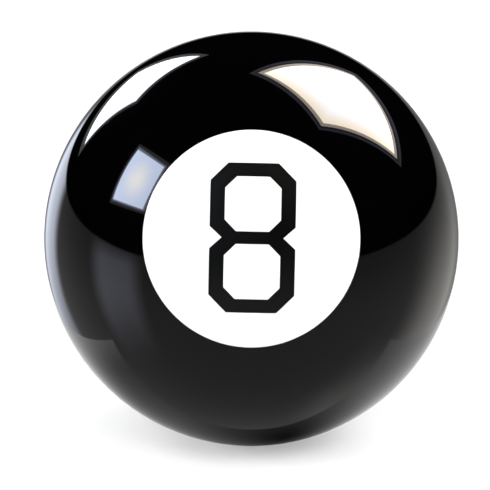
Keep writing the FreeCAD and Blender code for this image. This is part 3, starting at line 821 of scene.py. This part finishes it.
soft_box("right_soft_box", [
    (
        [(-178.5, 63.5), (82.5, 59.5), (108, 20.8), (154.5, 23.3)],
        plain_glow("warm_frame", (0.36, 0.36, 0.48)),
    ),
    (
        [(177.5, 63.2), (85.5, 59.5), (108.7, 22.3), (153.5, 24.8)],
        plain_glow("warm_gap", (0.17, 0.17, 0.22)),
    ),
    (
        [(175, 62.8), (88.2, 59.4), (109.4, 23.6), (152.6, 26.3)],
        plain_glow("warm_line", (4.6, 4.0, 3.4)),
    ),
    (
        [(170.4, 62.7), (92.9, 58.9), (110.4, 25.3), (151.3, 27.8)],
        fading_glow("warm_fill", from_two_edges, (17.5, 15.2, 12.4), (18.6, 18.6, 18.9), 0.0, 0.26),
    ),
])
soft_box("left_soft_box", [
    (
        [(-166.4, 37.8), (-132, 35.5), (-133.9, 8.2), (-162, 10.7)],
        plain_glow("cool_frame", (0.36, 0.36, 0.34)),
    ),
    (
        [(-164.2, 35.9), (-134.6, 34), (-135.2, 11.1), (-159.5, 13.7)],
        fading_glow("cool_fill", from_edges, (6.5, 7.4, 9.5), (15, 15.3, 15.6), 0.0, 0.06),
    ),
])
soft_box("small_soft_box", [
    (
        [(-97, 40.1), (-61, 45), (-60, 19.4), (-88.6, 15.3)],
        plain_glow("small_frame", (0.42, 0.42, 0.40)),
    ),
    (
        [(-95, 39.5), (-66.7, 43.2), (-65.1, 20.2), (-88, 16.7)],
        plain_glow("small_line", (2.2, 2.4, 3.3)),
    ),
    (
        [(-94.1, 38.6), (-67.4, 42.3), (-65.9, 20.9), (-87.3, 17.5)],
        fading_glow("small_fill", from_middle, (16.4, 16.3, 16.2), (11.2, 12.7, 16.6), 0.0, 0.52),
    ),
])


def soft_light(name, azimuth, elevation, distance, side, power):
    """A large soft light aimed at the ball, unseen in the gloss."""
    data = bpy.data.lights.new(name, "AREA")
    data.shape = "SQUARE"
    data.size = side
    data.energy = power
    lamp = bpy.data.objects.new(name, data)
    bpy.context.scene.collection.objects.link(lamp)
    lamp.location = CENTRE + direction(azimuth, elevation) * distance
    lamp.rotation_euler = (-direction(azimuth, elevation)).to_track_quat("-Z", "Y").to_euler()
    lamp.visible_glossy = False
    lamp.visible_camera = False
    return lamp


FLOOR_LIGHT_DISTANCE = 1.1
# name, azimuth, elevation, side in metres and power in watts of the soft lights on the floor alone
FLOOR_LIGHTS = [
    ("front_low", 0, 8, 0.3, 24),
    ("front_high", 15, 35, 0.3, 2.9),
    ("left_front_high", -30, 35, 0.6, 6.5),
    ("left_low", -75, 8, 0.6, 12.8),
    ("left_rear_low", -165, 8, 0.6, 7.4),
    ("right_front", 60, 25, 1.0, 9.3),
    ("right_rear", 150, 25, 1.0, 8.7),
]

floor_only = bpy.data.collections.new("floor_only")
floor_only.objects.link(FLOOR)
for name, azimuth, elevation, side, power in FLOOR_LIGHTS:
    wash = soft_light(name + "_floor_light", azimuth, elevation, FLOOR_LIGHT_DISTANCE, side, power)
    wash.light_linking.receiver_collection = floor_only

# the lights on everything but the floor: one overhead, and one on the window's side of the ball
all_but_floor = bpy.data.collections.new("all_but_floor")
all_but_floor.objects.link(FLOOR)
all_but_floor.collection_objects[0].light_linking.link_state = "EXCLUDE"
overhead = soft_light("overhead", 0, 78, 1.0, 2.4, 46)
overhead.light_linking.receiver_collection = all_but_floor
window_fill = soft_light("window_fill", 180, 12, 0.9, 1.4, 60)
window_fill.light_linking.receiver_collection = all_but_floor


def world():
    """White to the camera. To everything else: black above the horizon, and below it a grey ground with
    pale blue glows at the left and behind on the left, a warmer one behind on the right, a grey one low
    on the right and a faint one straight behind."""
    scene_world = bpy.data.worlds.new("studio")
    bpy.context.scene.world = scene_world
    scene_world.use_nodes = True
    nodes, links = scene_world.node_tree.nodes, scene_world.node_tree.links
    place = nodes.new("ShaderNodeTexCoord")
    split = nodes.new("ShaderNodeSeparateXYZ")
    links.new(place.outputs["Generated"], split.inputs["Vector"])

    # azimuth in degrees from the camera side, positive towards +X; depth is the sine of the dip
    forward = math_node(nodes, links, "MULTIPLY", split.outputs["Y"], -1)
    azimuth = math_node(nodes, links, "ARCTAN2", split.outputs["X"], forward)
    azimuth = math_node(nodes, links, "MULTIPLY", azimuth, 180 / math.pi)
    depth = math_node(nodes, links, "MULTIPLY", split.outputs["Z"], -1)

    def band(source, start, full, over, end):
        """1 between full and over, falling smoothly to 0 at start and end."""
        rise = smooth_step(nodes, links, source, start, full)
        fall = smooth_step(nodes, links, source, over, end, 1, 0)
        return math_node(nodes, links, "MULTIPLY", rise, fall)

    def glow(colour, *factors):
        """A colour dimmed by one or more numbers."""
        factor = factors[0]
        for other in factors[1:]:
            factor = math_node(nodes, links, "MULTIPLY", factor, other)
        mix = nodes.new("ShaderNodeMix")
        mix.data_type = "RGBA"
        mix.inputs["A"].default_value = (0, 0, 0, 1)
        mix.inputs["B"].default_value = (*colour, 1)
        links.new(factor, mix.inputs["Factor"])
        return mix.outputs["Result"]

    def added(first, second):
        """Two colours added together."""
        mix = nodes.new("ShaderNodeMix")
        mix.data_type = "RGBA"
        mix.blend_type = "ADD"
        mix.inputs["Factor"].default_value = 1
        links.new(first, mix.inputs["A"])
        links.new(second, mix.inputs["B"])
        return mix.outputs["Result"]

    ground = glow((0.31, 0.31, 0.31), smooth_step(nodes, links, depth, -0.1, 0.5, 0.55, 1.0))
    left_glow = glow(
        (0.78, 0.80, 0.97), band(azimuth, -99, -86, -71, -58), band(depth, -0.06, 0.14, 0.26, 0.80)
    )
    left_rear = glow(
        (1.9, 2.05, 2.45),
        band(azimuth, -164, -155, -140, -130),
        smooth_step(nodes, links, depth, 0, 0.75, 1, 0),
    )
    right_rear = glow(
        (0.64, 0.62, 0.58),
        band(azimuth, 94, 126, 144, 163),
        smooth_step(nodes, links, depth, -0.10, 0.42),
        smooth_step(nodes, links, depth, 0.60, 0.90, 1, 0),
    )
    right_side = glow(
        (0.25, 0.25, 0.24), band(azimuth, 66, 112, 125, 158), band(depth, 0.55, 0.85, 0.90, 0.99)
    )
    total = added(added(ground, left_glow), added(added(left_rear, right_rear), right_side))
    lower = glow((1, 1, 1), smooth_step(nodes, links, depth, -0.014, 0.010))
    cut = nodes.new("ShaderNodeMix")
    cut.data_type = "RGBA"
    cut.blend_type = "MULTIPLY"
    cut.inputs["Factor"].default_value = 1
    links.new(total, cut.inputs["A"])
    links.new(lower, cut.inputs["B"])
    behind = smooth_step(nodes, links, math_node(nodes, links, "ABSOLUTE", azimuth), 162, 178)
    rear_rim = glow((0.26, 0.26, 0.26), behind, band(depth, -0.05, 0.10, 0.30, 0.50))
    everything = added(cut.outputs["Result"], rear_rim)
    path = nodes.new("ShaderNodeLightPath")
    seen = nodes.new("ShaderNodeMix")
    seen.data_type = "RGBA"
    seen.inputs["B"].default_value = (1.05, 1.05, 1.05, 1)
    links.new(path.outputs["Is Camera Ray"], seen.inputs["Factor"])
    links.new(everything, seen.inputs["A"])
    links.new(seen.outputs["Result"], nodes["Background"].inputs["Color"])


world()


# ---- camera, looking straight at the number disc

CAMERA_DISTANCE = 10 * BALL_RADIUS
SENSOR = 36
LENS = 151.6
SHIFT = (-0.0131, -0.0130)


def camera():
    """A long lens on the disc's axis, shifted a little to set the ball in the frame."""
    data = bpy.data.cameras.new("camera")
    data.sensor_width = SENSOR
    data.lens = LENS
    data.shift_x, data.shift_y = SHIFT
    data.clip_start, data.clip_end = 0.01, 20
    view = bpy.data.objects.new("camera", data)
    bpy.context.scene.collection.objects.link(view)
    towards_camera = direction(0, math.degrees(TILT))
    view.location = CENTRE + towards_camera * CAMERA_DISTANCE
    view.rotation_euler = (-towards_camera).to_track_quat("-Z", "Y").to_euler()
    bpy.context.scene.camera = view


camera()
bpy.context.scene.view_settings.view_transform = "Standard"
